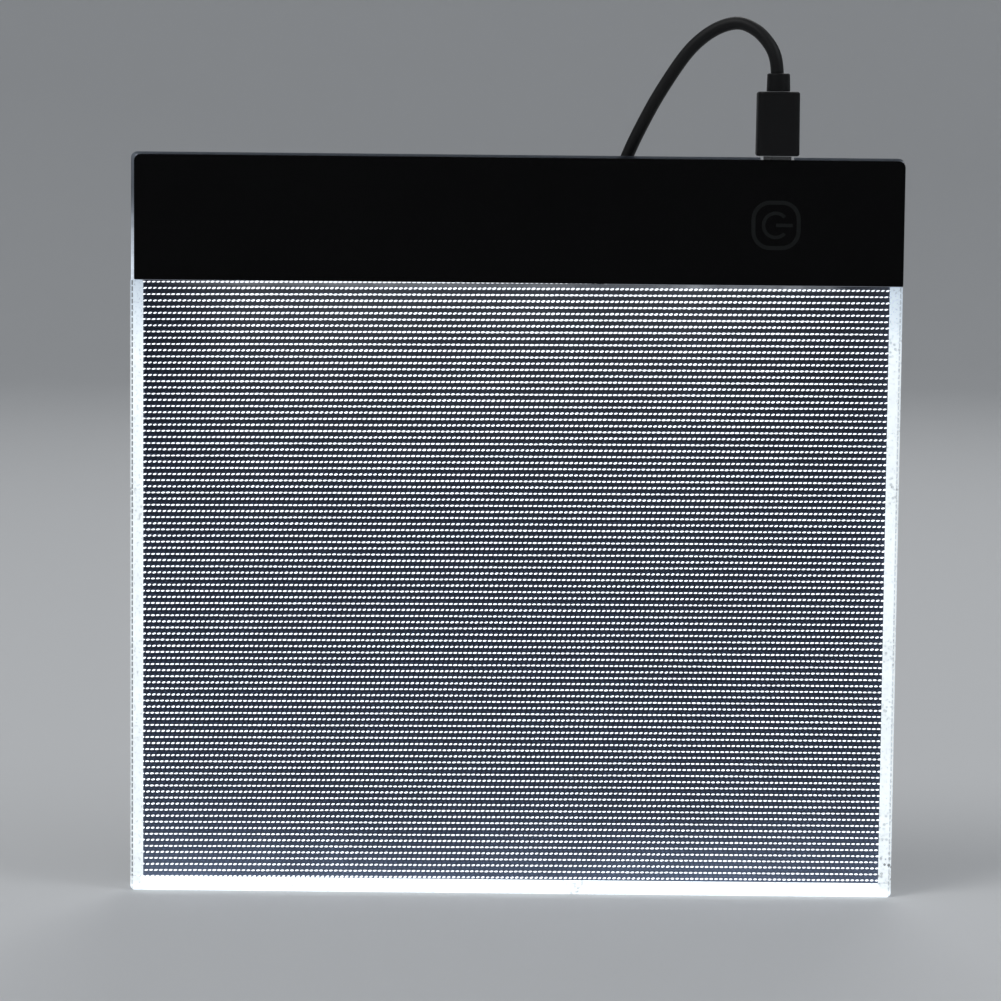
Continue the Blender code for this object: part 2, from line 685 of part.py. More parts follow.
def make_cord(paint, plug):
    spacing = 2 * CORD_DIAMETER
    plug_at = plug.matrix_world.translation
    routes = (
        ("cord_arc", ARC_ROUTE, plug, plug_at),
        ("cord_fall", FALL_ROUTE, None, Vector()),
        ("cord_tail", TAIL_ROUTE, None, Vector()),
    )
    for name, route, parent, base in routes:
        metres = [Vector(point) * MM - base for point in route]
        make_tube(name, smooth_route(metres, spacing), CORD_RADIUS, paint["cord_pvc"], parent)


def make_coil(paint):
    outer = COIL_TURN_RADII[0] + CORD_RADIUS
    inner = COIL_TURN_RADII[1] - CORD_RADIUS
    low, high, edge = COIL_FOOT, COIL_FOOT + COIL_HEIGHT, 0.8 * MM
    profile = [
        (inner, low + edge),
        (inner + edge, low),
        (outer - edge, low),
        (outer, low + edge),
        (outer, high - edge),
        (outer - edge, high),
        (inner + edge, high),
        (inner, high - edge),
    ]
    place = (*COIL_CENTRE, 0)
    new_object("cord_coil", turned("cord_coil", profile, 40), paint["cord_pvc"], None, place)

    # The tie loops round the bundle at the coil's far side. The hole curves in towards the tie's corners.
    near = inner - 2 * CORD_GAP - TIE_THICKNESS
    far = outer + CORD_GAP + TIE_THICKNESS
    top = high + CORD_GAP + TIE_THICKNESS
    outline = rounded_rectangle((near, 0), (far, top), 1.4 * MM)
    half = TIE_WIDTH / 2
    tie = new_object("cord_tie", prism("cord_tie", outline, -half, half, "yz"), paint["rubber"], None, place)
    hole = rounded_rectangle(
        (near + TIE_THICKNESS, TIE_THICKNESS), (far - TIE_THICKNESS, top - TIE_THICKNESS), 0.8 * MM
    )
    cut(tie, "tie_hollow", prism("tie_hollow", hole, -2 * half, 2 * half, "yz"), None, place)


def make_usb_a(paint):
    """The far end's plug, its nose towards -X."""
    relief = [
        (0, 0),
        (2.2 * MM, 0),
        (2.8 * MM, USB_A_RELIEF_LENGTH - GAP),
        (0, USB_A_RELIEF_LENGTH - GAP),
    ]
    relief_mesh = turned("usb_a_strain_relief", relief, 16, "X")
    relief_mesh.transform(Matrix.Rotation(math.pi, 4, "Z"))
    relief_place = USB_A_AXIS - Vector((CORD_GAP, 0, 0))
    new_object("usb_a_strain_relief", relief_mesh, paint["cord_pvc"], None, relief_place)

    body_right = USB_A_AXIS.x - CORD_GAP - USB_A_RELIEF_LENGTH
    body_left = body_right - USB_A_BODY.x
    half = USB_A_BODY / 2
    y, z = USB_A_AXIS.y, USB_A_AXIS.z
    outline = rounded_rectangle((y - half.y, z - half.z), (y + half.y, z + half.z), 2.0 * MM)
    mesh = prism("usb_a_overmould", outline, body_left, body_right, "yz")
    soften(new_object("usb_a_overmould", mesh, paint["cord_pvc"]), 0.6 * MM)

    shell_right = body_left - GAP
    shell_left = shell_right - USB_A_SHELL.x
    half = USB_A_SHELL / 2
    low = (shell_left, y - half.y, z - half.z)
    high = (shell_right, y + half.y, z + half.z)
    shell = new_object("usb_a_shell", block("usb_a_shell", low, high), paint["steel"])
    wall = USB_A_WALL
    low = (shell_left - 1 * MM, y - half.y + wall, z - half.z + wall)
    high = (shell_right - 1 * MM, y + half.y - wall, z + half.z - wall)
    cut(shell, "usb_a_hollow", block("usb_a_hollow", low, high))

    tongue_gap = 0.05 * MM
    low = (shell_left + 0.5 * MM, y - half.y + wall + tongue_gap, z + 0.1 * MM)
    high = (shell_right - 1.1 * MM, y + half.y - wall - tongue_gap, z + half.z - wall - tongue_gap)
    new_object("usb_a_tongue", block("usb_a_tongue", low, high), paint["chip"])


def empty(name, location, parent=None):
    made = bpy.data.objects.new(name, None)
    bpy.context.scene.collection.objects.link(made)
    made.parent = parent
    made.location = location
    return made


def main():
    clear_scene()
    paint = make_materials()
    pad = empty("pad_mid_plane", (0, PAD_Y, 0))
    plug = empty("plug_slide_axis", (LEAD_X, PAD_Y, 0))
    bpy.context.view_layer.update()

    make_light_guide(paint, pad)
    make_backing(paint, pad)
    make_tapes(paint, pad)
    make_front_cover(paint, pad)
    make_rear_cover(paint, pad)
    make_screws(paint, pad)
    make_feet(paint, pad)
    make_key_mark(paint, pad)
    make_boards(paint, pad)
    make_leds(paint, pad)
    make_components(paint, pad)
    make_led_wires(paint, pad)
    make_socket(paint, pad)
    make_plug(paint, plug)
    make_cord(paint, plug)
    make_coil(paint)
    make_usb_a(paint)


main()
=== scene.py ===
"""Looks for the LED light box: a dotted, edge-lit pad standing upright, its USB lead plugged in on top.

Metres, +Z up, front towards -Y. Main sizes come from the frame's boxes; the others are set here.
"""

import json
import math
import random

import bmesh
import bpy
from mathutils import Matrix, Vector
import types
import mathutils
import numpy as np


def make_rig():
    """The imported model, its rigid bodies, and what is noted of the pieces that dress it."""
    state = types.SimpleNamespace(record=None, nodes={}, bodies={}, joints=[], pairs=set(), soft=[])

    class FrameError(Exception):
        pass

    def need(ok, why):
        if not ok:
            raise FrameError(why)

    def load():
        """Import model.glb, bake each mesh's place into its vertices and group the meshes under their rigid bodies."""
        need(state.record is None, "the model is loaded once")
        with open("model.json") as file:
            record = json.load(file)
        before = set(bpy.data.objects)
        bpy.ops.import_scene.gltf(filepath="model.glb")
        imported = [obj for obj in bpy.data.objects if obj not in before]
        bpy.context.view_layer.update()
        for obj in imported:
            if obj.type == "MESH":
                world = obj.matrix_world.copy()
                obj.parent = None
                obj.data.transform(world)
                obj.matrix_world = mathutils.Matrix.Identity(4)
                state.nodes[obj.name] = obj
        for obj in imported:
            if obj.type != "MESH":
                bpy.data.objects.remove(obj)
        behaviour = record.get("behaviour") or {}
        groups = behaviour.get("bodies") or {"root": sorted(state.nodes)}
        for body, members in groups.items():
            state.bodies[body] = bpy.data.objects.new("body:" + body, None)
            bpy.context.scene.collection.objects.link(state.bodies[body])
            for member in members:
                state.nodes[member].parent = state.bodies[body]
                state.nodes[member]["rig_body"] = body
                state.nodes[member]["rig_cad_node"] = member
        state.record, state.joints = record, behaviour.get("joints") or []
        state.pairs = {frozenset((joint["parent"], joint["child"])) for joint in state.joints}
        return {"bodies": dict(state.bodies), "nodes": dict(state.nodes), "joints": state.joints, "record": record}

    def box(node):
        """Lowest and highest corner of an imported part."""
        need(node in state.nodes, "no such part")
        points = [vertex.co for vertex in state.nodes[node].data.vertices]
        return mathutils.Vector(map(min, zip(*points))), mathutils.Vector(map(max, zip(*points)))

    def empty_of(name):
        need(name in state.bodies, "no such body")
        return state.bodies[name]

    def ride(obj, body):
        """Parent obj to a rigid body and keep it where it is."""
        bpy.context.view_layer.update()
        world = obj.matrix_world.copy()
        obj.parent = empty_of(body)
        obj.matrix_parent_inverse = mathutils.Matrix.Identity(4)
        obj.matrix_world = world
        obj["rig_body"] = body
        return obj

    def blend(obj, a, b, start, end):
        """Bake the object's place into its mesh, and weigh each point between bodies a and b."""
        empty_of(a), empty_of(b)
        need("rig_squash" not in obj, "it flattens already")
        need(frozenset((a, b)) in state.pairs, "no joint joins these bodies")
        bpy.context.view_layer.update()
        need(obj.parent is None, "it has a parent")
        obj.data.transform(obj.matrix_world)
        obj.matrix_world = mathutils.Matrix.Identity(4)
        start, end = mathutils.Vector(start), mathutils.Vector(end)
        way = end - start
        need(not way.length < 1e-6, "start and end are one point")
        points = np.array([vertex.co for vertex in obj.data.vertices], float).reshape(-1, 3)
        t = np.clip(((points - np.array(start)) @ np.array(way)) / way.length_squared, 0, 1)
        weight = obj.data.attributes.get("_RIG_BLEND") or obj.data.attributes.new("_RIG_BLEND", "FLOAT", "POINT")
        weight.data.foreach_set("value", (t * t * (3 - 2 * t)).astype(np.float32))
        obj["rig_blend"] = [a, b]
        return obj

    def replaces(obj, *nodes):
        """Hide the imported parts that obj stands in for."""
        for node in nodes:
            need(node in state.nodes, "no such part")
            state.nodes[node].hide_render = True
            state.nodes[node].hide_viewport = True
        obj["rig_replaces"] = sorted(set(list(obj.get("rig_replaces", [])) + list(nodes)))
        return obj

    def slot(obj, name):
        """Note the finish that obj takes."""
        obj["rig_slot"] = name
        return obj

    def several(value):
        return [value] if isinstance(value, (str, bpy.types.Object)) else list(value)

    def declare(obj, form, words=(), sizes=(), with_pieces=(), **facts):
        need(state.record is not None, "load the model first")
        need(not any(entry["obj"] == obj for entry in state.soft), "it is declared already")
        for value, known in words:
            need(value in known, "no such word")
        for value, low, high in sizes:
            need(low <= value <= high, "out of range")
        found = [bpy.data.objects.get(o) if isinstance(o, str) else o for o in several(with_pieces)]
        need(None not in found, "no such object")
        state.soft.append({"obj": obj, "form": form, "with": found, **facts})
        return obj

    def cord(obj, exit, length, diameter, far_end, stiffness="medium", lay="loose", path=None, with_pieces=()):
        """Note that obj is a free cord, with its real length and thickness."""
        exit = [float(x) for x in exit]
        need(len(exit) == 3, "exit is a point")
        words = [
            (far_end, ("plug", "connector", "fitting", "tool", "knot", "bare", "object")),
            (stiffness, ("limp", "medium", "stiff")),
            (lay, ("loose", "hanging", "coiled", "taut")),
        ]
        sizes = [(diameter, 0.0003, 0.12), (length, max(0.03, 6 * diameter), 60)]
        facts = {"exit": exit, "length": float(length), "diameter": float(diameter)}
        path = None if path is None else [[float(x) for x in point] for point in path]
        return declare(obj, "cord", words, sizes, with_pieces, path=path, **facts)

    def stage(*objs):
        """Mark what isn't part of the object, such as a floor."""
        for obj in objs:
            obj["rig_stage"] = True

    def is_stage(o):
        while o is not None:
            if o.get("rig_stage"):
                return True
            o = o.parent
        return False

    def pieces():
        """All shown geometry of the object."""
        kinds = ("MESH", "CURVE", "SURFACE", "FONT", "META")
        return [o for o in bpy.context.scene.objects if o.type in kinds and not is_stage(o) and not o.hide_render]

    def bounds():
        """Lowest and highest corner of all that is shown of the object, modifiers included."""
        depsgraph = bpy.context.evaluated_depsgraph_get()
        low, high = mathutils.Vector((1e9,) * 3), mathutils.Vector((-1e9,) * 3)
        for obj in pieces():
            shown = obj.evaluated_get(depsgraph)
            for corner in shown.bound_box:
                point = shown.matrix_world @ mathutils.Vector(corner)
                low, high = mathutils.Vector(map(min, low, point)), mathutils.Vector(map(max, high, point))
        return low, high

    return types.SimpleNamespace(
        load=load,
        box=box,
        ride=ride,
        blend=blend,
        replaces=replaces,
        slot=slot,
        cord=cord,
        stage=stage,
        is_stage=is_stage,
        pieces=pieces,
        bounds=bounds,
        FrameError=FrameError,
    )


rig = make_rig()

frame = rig.load()
cad_bounds = [[float(v) for v in corner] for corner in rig.bounds()]
MM = 0.001

# ---------------------------------------------------------------- camera

CAMERA_PLACE = Vector((-1.0, -911.8, 189.0)) * MM
CAMERA_TARGET = Vector((-3.4, -2.4, 98.6)) * MM
CAMERA_ROLL = 0.56  # degrees; the pad looks turned clockwise by this much
CAMERA_LENS = 132.9
SENSOR_WIDTH = 36.0


def make_camera():
    data = bpy.data.cameras.new("camera")
    data.lens = CAMERA_LENS
    data.sensor_width = SENSOR_WIDTH
    data.clip_start = 0.01
    camera = bpy.data.objects.new("camera", data)
    bpy.context.scene.collection.objects.link(camera)
    turn = (CAMERA_TARGET - CAMERA_PLACE).to_track_quat("-Z", "Y").to_matrix().to_4x4()
    roll = Matrix.Rotation(math.radians(CAMERA_ROLL), 4, "Z")
    camera.matrix_world = Matrix.Translation(CAMERA_PLACE) @ turn @ roll
    bpy.context.scene.camera = camera


# ---------------------------------------------------------------- shapes


def mesh_piece(name, bm, body="root", sharp=40):
    mesh = bpy.data.meshes.new(name)
    bm.to_mesh(mesh)
    bm.free()
    mesh.shade_smooth()
    mesh.set_sharp_from_angle(angle=math.radians(sharp))
    piece = bpy.data.objects.new(name, mesh)
    bpy.context.scene.collection.objects.link(piece)
    if body:
        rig.ride(piece, body)
    return piece


def paint_with(piece, made):
    piece.data.materials.clear()
    piece.data.materials.append(made)
    return piece


def node_mesh(node):
    """A CAD node's own shape as a bmesh, with its flat faces made whole again."""
    bm = bmesh.new()
    bm.from_mesh(frame["nodes"][node].data)
    bmesh.ops.remove_doubles(bm, verts=bm.verts, dist=0.001 * MM)
    bmesh.ops.dissolve_limit(
        bm, angle_limit=math.radians(0.5), verts=bm.verts, edges=bm.edges, use_dissolve_boundaries=False
    )
    return bm


def apply_modifiers(piece):
    graph = bpy.context.evaluated_depsgraph_get()
    graph.update()
    final = bpy.data.meshes.new_from_object(piece.evaluated_get(graph))
    piece.modifiers.clear()
    piece.data = final


def soften(piece, width, segments=3, angle=35):
    """Rounds the piece's sharp edges, keeps its flat faces flat, and makes the result its mesh."""
    bevel = piece.modifiers.new("soft_edges", "BEVEL")
    bevel.width = width
    bevel.segments = segments
    bevel.limit_method = "ANGLE"
    bevel.angle_limit = math.radians(angle)
    apply_modifiers(piece)
    piece.data.shade_smooth()
    piece.data.set_sharp_from_angle(angle=math.radians(50))
    normals = piece.modifiers.new("flat_faces", "WEIGHTED_NORMAL")
    normals.keep_sharp = True
    apply_modifiers(piece)


def refined(node, body, width, segments=3, angle=35):
    """The CAD node's shape with rounded edges, in the node's place."""
    bm = node_mesh(node)
    bm.transform(frame["nodes"][node].matrix_world)
    piece = mesh_piece(node + "_moulded", bm, body)
    soften(piece, width, segments, angle)
    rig.replaces(piece, node)
    return piece


def tube_mesh(centres, radius, sides):
    """A closed tube along the centres, with rings that don't twist."""
    bm = bmesh.new()
    rings = []
    normal = None
    for i, centre in enumerate(centres):
        ahead = centres[min(i + 1, len(centres) - 1)]
        behind = centres[max(i - 1, 0)]
        tangent = (ahead - behind).normalized()
        if normal is None:
            normal = tangent.orthogonal().normalized()
        normal = (normal - tangent * normal.dot(tangent)).normalized()
        across = tangent.cross(normal)
        rings.append(
            [
                bm.verts.new(centre + radius * (math.cos(a) * normal + math.sin(a) * across))
                for a in (2 * math.pi * side / sides for side in range(sides))
            ]
        )
    for lower, upper in zip(rings, rings[1:]):
        for i in range(sides):
            j = (i + 1) % sides
            bm.faces.new((lower[i], lower[j], upper[j], upper[i]))
    bm.faces.new(rings[0][::-1])
    bm.faces.new(rings[-1])
    bmesh.ops.recalc_face_normals(bm, faces=bm.faces)
    return bm


# ---------------------------------------------------------------- the lead

CORD_DIAMETER = 3.2 * MM
CORD_LENGTH = 1.0
CORD_SIDES = 14
RING_SPACING = 1.1 * MM
COIL_CENTRE = Vector((-12.0, 26.4, 0.0)) * MM
COIL_TURNS = (20.8, 17.6, 14.4, 11.2)  # centre-line radii of the four columns of turns, outermost first
COIL_LOW = 2.5 * MM
LANDING_HEIGHT = 1.72 * MM  # of the centre line, where the lead runs into the coil
DOWN_ROUTE = (
    (63.5, -0.8, 202.8),
    (62.9, -0.7, 207.8),
    (61.3, 0.3, 211.4),
    (58.1, 2.0, 214.8),
    (53.6, 4.0, 216.5),
    (47.8, 6.0, 214.6),
    (41.9, 7.5, 209.5),
    (35.6, 8.9, 200.2),
    (31.0, 9.7, 191.8),
    (27.2, 10.2, 183.6),
    (23.4, 10.6, 173.0),
    (20.6, 10.6, 156.8),
    (19.2, 9.9, 134.5),
    (18.6, 8.7, 104.3),
    (18.4, 7.4, 70.0),
    (18.2, 6.3, 40.0),
    (17.6, 5.9, 25.0),
    (15.3, 5.6, 13.4),
    (10.8, 5.6, 5.6),
    (5.4, 5.6, 2.1),
    (2.0, 5.6, 1.62),
    (-4.0, 5.6, 1.7),
)
TAIL_ROUTE = (
    (-16.0, 5.8, 5.7),
    (-20.0, 6.3, 5.7),
    (-24.0, 7.6, 5.6),
    (-28.0, 9.3, 5.35),
    (-32.0, 10.9, 4.95),
    (-35.0, 12.0, 4.5),
    (-38.5, 12.6, 4.15),
    (-41.7, 12.7, 4.0),
)


def coil_points():
    """Seven clockwise turns: in along the bottom layer, up, and out again along the top one.

    Each step to the next turn's place comes a little earlier in its turn than the step before, so the steps
    never cross.
    """
    places = [(radius * MM, COIL_LOW) for radius in COIL_TURNS]
    places += [(radius * MM, COIL_LOW + CORD_DIAMETER) for radius in COIL_TURNS[::-1]]
    turn, step = 360, 50
    points = []
    for angle in range(0, 7 * turn + 1, 8):
        radius, height = places[0]
        for number, (next_radius, next_height) in enumerate(places[1:]):
            start = 300 + number * (turn - step)
            share = min(max((angle - start) / step, 0), 1)
            share = share * share * (3 - 2 * share)
            radius += (next_radius - places[number][0]) * share
            height += (next_height - places[number][1]) * share
        lift = min(angle / 40, 1)
        height -= (COIL_LOW - LANDING_HEIGHT) * (1 - lift * lift * (3 - 2 * lift))
        round_at = math.radians(angle)
        out = Vector((-math.sin(round_at), -math.cos(round_at), 0.0)) * radius
        points.append(COIL_CENTRE + out + Vector((0.0, 0.0, height)))
    return points


def smooth_route(knots, spacing):
    """Evenly spaced points on a Catmull-Rom curve through the knots."""
    ends = [2 * knots[0] - knots[1], *knots, 2 * knots[-1] - knots[-2]]
    fine = []
    for p0, p1, p2, p3 in zip(ends, ends[1:], ends[2:], ends[3:]):
        for step in range(12):
            t = step / 12
            fine.append(
                0.5
                * (
                    2 * p1
                    + (p2 - p0) * t
                    + (2 * p0 - 5 * p1 + 4 * p2 - p3) * t**2
                    + (3 * p1 - p0 - 3 * p2 + p3) * t**3
                )
            )
    fine.append(knots[-1])
    run = [0.0]
    for a, b in zip(fine, fine[1:]):
        run.append(run[-1] + (b - a).length)
    count = round(run[-1] / spacing)
    spaced = []
    index = 0
    for step in range(count + 1):
        goal = run[-1] * step / count
        while index < len(run) - 2 and run[index + 1] < goal:
            index += 1
        share = (goal - run[index]) / (run[index + 1] - run[index])
        spaced.append(fine[index].lerp(fine[index + 1], share))
    return spaced


def make_cord():
    route = [Vector(point) * MM for point in DOWN_ROUTE]
    route += coil_points()
    route += [Vector(point) * MM for point in TAIL_ROUTE]
    centres = smooth_route(route, RING_SPACING)
    cord = mesh_piece("cord", tube_mesh(centres, CORD_DIAMETER / 2, CORD_SIDES), body=None, sharp=60)
    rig.blend(cord, "plug", "root", start=(0, 0, 0.19), end=(0, 0, 0.12))
    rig.replaces(cord, "cord_arc", "cord_fall", "cord_coil", "cord_tail")
    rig.slot(cord, "cord_pvc")
    return cord, centres


def declare_cord(cord, centres, pieces):
    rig.cord(
        cord,
        exit=centres[0],
        length=CORD_LENGTH,
        diameter=CORD_DIAMETER,
        far_end="plug",
        stiffness="limp",
        lay="coiled",
        path=centres,
        with_pieces=pieces,
    )


# ---------------------------------------------------------------- materials


class Paint:
    """A Principled material being built. Even values are set on the shader; patterns are linked to it."""

    def __init__(self, name, colour, roughness, **even):
        self.made = bpy.data.materials.new(name)
        self.made.use_nodes = True
        self.tree = self.made.node_tree
        self.shader = self.tree.nodes["Principled BSDF"]
        self.shader.inputs["Base Color"].default_value = (*colour, 1.0)
        self.shader.inputs["Roughness"].default_value = roughness
        for socket, value in even.items():
            self.shader.inputs[socket.replace("_", " ")].default_value = value
        self.place = self.node("ShaderNodeTexCoord").outputs["Object"]

    def node(self, kind, settings=(), **inputs):
        made = self.tree.nodes.new(kind)
        for name, value in dict(settings).items():
            setattr(made, name, value)
        for name, value in inputs.items():
            self.give(made, int(name[1:]) if name[0] == "_" and name[1:].isdigit() else name, value)
        return made

    def give(self, node, socket, value):
        """Links the socket to an output, or sets it to a number or a colour."""
        if isinstance(value, bpy.types.NodeSocket):
            self.tree.links.new(value, node.inputs[socket])
        elif isinstance(value, (tuple, list)) and node.inputs[socket].type == "RGBA":
            node.inputs[socket].default_value = (*value, 1.0)
        else:
            node.inputs[socket].default_value = value

    def noise(self, scale, detail=3.0, roughness=0.55, stretch=(1, 1, 1)):
        place = self.node("ShaderNodeMapping", Vector=self.place, Scale=stretch).outputs[0]
        made = self.node("ShaderNodeTexNoise", Vector=place, Scale=scale, Detail=detail, Roughness=roughness)
        return made.outputs["Fac"]

    def cells(self, scale, feature="F1"):
        made = self.node("ShaderNodeTexVoronoi", {"feature": feature}, Vector=self.place, Scale=scale)
        return made.outputs["Distance"]

    def axis(self, name):
        return self.node("ShaderNodeSeparateXYZ", Vector=self.place).outputs[name]

    def maths(self, operation, first, second=0.0):
        return self.node("ShaderNodeMath", {"operation": operation}, _0=first, _1=second).outputs[0]

    def times(self, first, *others):
        product = first
        for other in others:
            product = self.maths("MULTIPLY", product, other)
        return product

    def plus(self, first, *others):
        total = first
        for other in others:
            total = self.maths("ADD", total, other)
        return total

    def minus(self, first, second):
        return self.maths("SUBTRACT", first, second)

    def fading(self, distance, reach):
        """1 at no distance, and e times less with each further reach."""
        return self.maths("EXPONENT", self.maths("DIVIDE", distance, -reach))

    def span(self, value, low, high, to_low=0.0, to_high=1.0, ease="SMOOTHSTEP"):
        made = self.node(
            "ShaderNodeMapRange",
            {"interpolation_type": ease},
            Value=value,
            _1=low,
            _2=high,
            _3=to_low,
            _4=to_high,
        )
        return made.outputs[0]

    def blend(self, share, first, second):
        """Colour between two colours, or two colour outputs."""
        made = self.node("ShaderNodeMix", {"data_type": "RGBA"})
        self.give(made, 0, share)
        self.give(made, 6, first)
        self.give(made, 7, second)
        return made.outputs[2]

    def colour(self, value):
        self.give(self.shader, "Base Color", value)

    def roughness(self, pattern, low, high):
        self.give(self.shader, "Roughness", self.span(pattern, 0.3, 0.7, low, high, "LINEAR"))

    def bump(self, pattern, height, strength=1.0):
        made = self.node("ShaderNodeBump", Height=pattern, Distance=height, Strength=strength)
        before = self.shader.inputs["Normal"].links
        if before:
            self.give(made, "Normal", before[0].from_socket)
        self.give(self.shader, "Normal", made.outputs[0])

    def glow(self, colour, strength):
        self.give(self.shader, "Emission Color", colour)
        self.give(self.shader, "Emission Strength", strength)


def satin_plastic(name, colour, roughness, grain=2600, depth=0.012, specular=0.35):
    """Fine spark-eroded moulding: an even grain, with faint cloudy wear in its gloss."""
    paint = Paint(name, colour, roughness, Specular_IOR_Level=specular)
    cloud = paint.noise(38, 4)
    paint.colour(paint.blend(cloud, [c * 0.8 for c in colour], [c * 1.25 for c in colour]))
    paint.roughness(cloud, roughness - 0.06, roughness + 0.08)
    paint.bump(paint.noise(grain, 2), depth * MM)
    return paint


def plated_steel(name, shade):
    """Nickel plating with fine rub marks along Z."""
    paint = Paint(name, (shade, shade, shade), 0.26, Metallic=1.0)
    rubbed = paint.noise(260, 5, stretch=(1, 1, 0.08))
    paint.colour(paint.blend(rubbed, [shade * 0.82] * 3, [shade * 1.16] * 3))
    paint.roughness(rubbed, 0.18, 0.38)
    paint.bump(rubbed, 0.006 * MM)
    return paint.made


def make_paints():
    paints = {}
    black = satin_plastic("black_plastic", (0.0018, 0.0018, 0.002), 0.5, specular=0.07)
    paints["black_plastic"] = black.made
    paints["cord_pvc"] = satin_plastic("cord_pvc", (0.005, 0.005, 0.0054), 0.5, 1800, 0.02, 0.25).made
    paints["plug_pvc"] = satin_plastic("plug_pvc", (0.004, 0.004, 0.0044), 0.48, 2200, 0.02, 0.2).made
    paints["chip"] = satin_plastic("chip", (0.012, 0.012, 0.013), 0.5, 4000, 0.006).made
    paints["rubber"] = satin_plastic("rubber", (0.012, 0.012, 0.012), 0.82, 1600, 0.03, 0.2).made
    paints["wire_red"] = satin_plastic("wire_red", (0.42, 0.01, 0.01), 0.4, 3000, 0.006).made
    paints["wire_black"] = satin_plastic("wire_black", (0.01, 0.01, 0.01), 0.4, 3000, 0.006).made
    paints["led_body"] = satin_plastic("led_body", (0.8, 0.74, 0.45), 0.3, 5000, 0.004).made

    ink = Paint("key_ink", (0.011, 0.0122, 0.0122), 0.55, Specular_IOR_Level=0.1)
    ink.colour(ink.blend(ink.noise(900, 3), (0.008, 0.009, 0.009), (0.014, 0.0156, 0.0156)))
    ink.bump(ink.noise(3000, 2), 0.01 * MM)
    paints["key_ink"] = ink.made

    board = Paint("circuit_board", (0.012, 0.11, 0.045), 0.35)
    tracks = board.cells(420)
    board.colour(board.blend(board.span(tracks, 0.2, 0.5), (0.01, 0.085, 0.035), (0.016, 0.14, 0.055)))
    board.bump(tracks, 0.02 * MM)
    paints["circuit_board"] = board.made

    copper = Paint("copper", (0.82, 0.46, 0.27), 0.3, Metallic=1.0)
    copper.roughness(copper.noise(300, 4), 0.2, 0.45)
    copper.bump(copper.noise(500, 3), 0.01 * MM)
    paints["copper"] = copper.made

    paints["steel"] = plated_steel("steel", 0.6)
    # The plug shell takes the same nickel steel, darkened: painted shade, as if the shell sat in shadow and mirrored a
    # dark room
    paints["plug_steel_painted_shade"] = plated_steel("plug_steel_painted_shade", 0.16)
    return paints


# ---------------------------------------------------------------- lit materials

BAR_LOW, BAR_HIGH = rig.box("front_cover")
GUIDE_LOW, GUIDE_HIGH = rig.box("light_guide_plate")
BOTTOM_TAPE_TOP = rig.box("edge_tape_bottom")[1].z
GUIDE_TINT = (0.86, 0.9, 1.0)
GUIDE_SHEEN = (0.4, 0.5, 0.75, 1.0)  # dims what the guide mirrors
RIM_TINT = (0.2, 0.22, 0.25)
RIM_GLOW = 0.52
FOOT_GLOW, SIDE_GLOW = 1.25, 0.86
BACKING_FRONT = (0.004, 0.0045, 0.008)


def light_guide_paint():
    """Clear polished acrylic. Its bare rim beside and above the bar is saw-cut, so it's greyer, and it
    carries light that fades away upwards.
    """
    paint = Paint("clear_acrylic", GUIDE_TINT, 0.03, Transmission_Weight=1.0, IOR=1.49)
    paint.shader.inputs["Specular IOR Level"].default_value = 0.06
    paint.shader.inputs["Specular Tint"].default_value = GUIDE_SHEEN
    paint.bump(paint.noise(60, 4), 0.01 * MM)
    x, z = paint.axis("X"), paint.axis("Z")
    up = paint.minus(z, BAR_LOW.z)
    at_side = paint.span(x, BAR_LOW.x - 0.05 * MM, BAR_LOW.x + 0.2 * MM, 1, 0)
    at_top = paint.span(z, BAR_HIGH.z - 0.2 * MM, BAR_HIGH.z + 0.1 * MM, 0, 1)
    above_foot = paint.span(up, -0.5 * MM, 0.1 * MM, 0, 1)
    side = paint.times(paint.span(up, 0, 23 * MM, RIM_GLOW, 0.03), at_side)
    top = paint.times(paint.fading(paint.minus(x, GUIDE_LOW.x), 16 * MM), at_top, 0.012)
    # Noise that makes the rim's glow uneven: stronger and weaker patches of light, on the glow's strength only
    patchy_glow = paint.span(paint.noise(700, 3), 0.3, 0.7, 0.75, 1.1)
    paint.glow((0.82, 0.9, 1.0), paint.times(paint.plus(paint.times(side, above_foot), top), patchy_glow))
    rim = paint.times(paint.maths("MAXIMUM", at_side, at_top), above_foot)
    paint.colour(paint.blend(rim, GUIDE_TINT, RIM_TINT))
    paint.give(paint.shader, "Roughness", paint.span(rim, 0, 1, 0.03, 0.33, "LINEAR"))
    return paint.made


